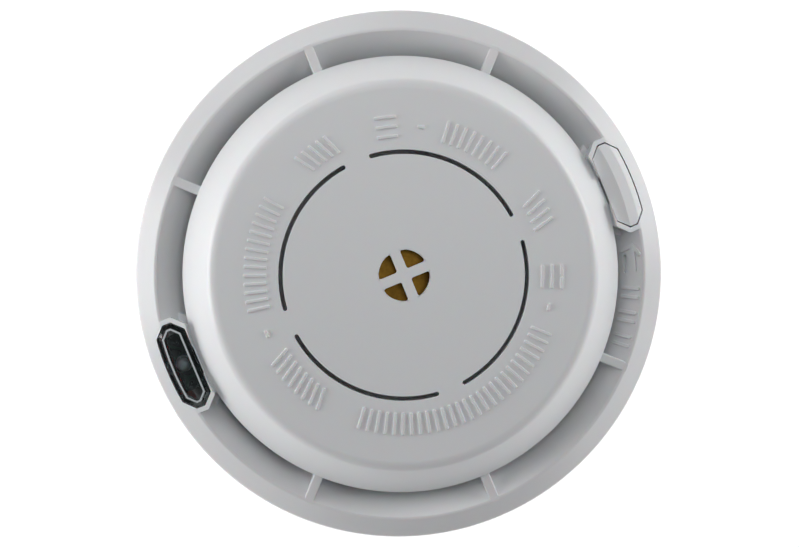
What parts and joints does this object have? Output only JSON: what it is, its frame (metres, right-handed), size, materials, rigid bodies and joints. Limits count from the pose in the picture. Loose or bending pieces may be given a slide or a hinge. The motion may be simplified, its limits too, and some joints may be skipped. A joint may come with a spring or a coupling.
{
  "type": "ceiling heat detector",
  "caption": "Round white ceiling heat alarm with a raised sounder cap, slotted face, channel air inlets, test button, indicator lens and a twist-on mounting plate.",
  "frame": {"origin": "centre of the mounting plate's back face, which lies on the ceiling", "axes": "+Z out of the ceiling into the room, through the middle of the face; +X towards the test button"},
  "size_m": [0.115, 0.115, 0.0385],
  "materials": {
    "casing": "satin moulded white",
    "plate": "matt moulded white",
    "tray": "matt moulded off-white",
    "clear": "clear polycarbonate, polished",
    "board": "green solder mask",
    "black": "black moulded",
    "brass": "rolled sheet",
    "ceramic": "silvered piezo ceramic",
    "silicone": "grey silicone",
    "steel": "zinc plated",
    "tinned": "nickel plated",
    "battery_label": "plain wrapped can",
    "red_wire": "insulated wire",
    "black_wire": "insulated wire",
    "sleeve": "shrunk sleeve",
    "led": "water-clear epoxy"
  },
  "bodies": {
    "mount": {"mounting_plate": "plate"},
    "head": {"rear_housing": "tray", "front_ring": "casing", "sounder_cap": "casing", "button_spring": "steel", "indicator_lens": "clear", "status_led": "led", "led_spacer": "black", "circuit_board": "board", "test_switch_body": "black", "microcontroller": "black", "horn_driver_chip": "black", "boost_coil": "black", "storage_capacitor": "sleeve", "heat_sensor_leads_1": "tinned", "heat_sensor_bead_1": "black", "heat_sensor_leads_2": "tinned", "heat_sensor_bead_2": "black", "sound_gasket": "silicone", "piezo_disc": "brass", "piezo_ceramic": "ceramic", "piezo_retainer": "tray", "sounder_wire_red": "red_wire", "sounder_wire_black": "black_wire", "battery_case": "battery_label", "battery_stud": "tinned", "battery_socket": "tinned", "snap_plate": "black", "snap_socket": "tinned", "snap_stud": "tinned", "battery_lead_red": "red_wire", "battery_lead_black": "black_wire", "housing_screw_1": "steel", "housing_screw_2": "steel", "housing_screw_3": "steel", "housing_screw_4": "steel", "cap_screw_1": "steel", "board_screw_1": "steel", "cap_screw_2": "steel", "board_screw_2": "steel", "cap_screw_3": "steel", "board_screw_3": "steel", "chamber_deck": "casing"},
    "button": {"test_button": "casing"},
    "switch_plunger": {"test_switch_plunger": "black"}
  },
  "joints": [
    {"name": "head_twist", "type": "hinge", "parent": "mount", "child": "head", "pos_m": [0, 0, 0.005], "axis": [0, 0, 1], "range_deg": [0, 15]},
    {"name": "button_press", "type": "slide", "parent": "head", "child": "button", "axis": [0, 0, -1], "range_m": [0, 0.0005], "stiffness_N_per_m": 800, "deforming": ["button_spring"]},
    {"name": "plunger_press", "type": "slide", "parent": "head", "child": "switch_plunger", "axis": [0, 0, -1], "range_m": [0, 0.00025]}
  ],
  "couplings": [
    {"joint": "plunger_press", "follows": "button_press", "ratio": 0.5}
  ]
}
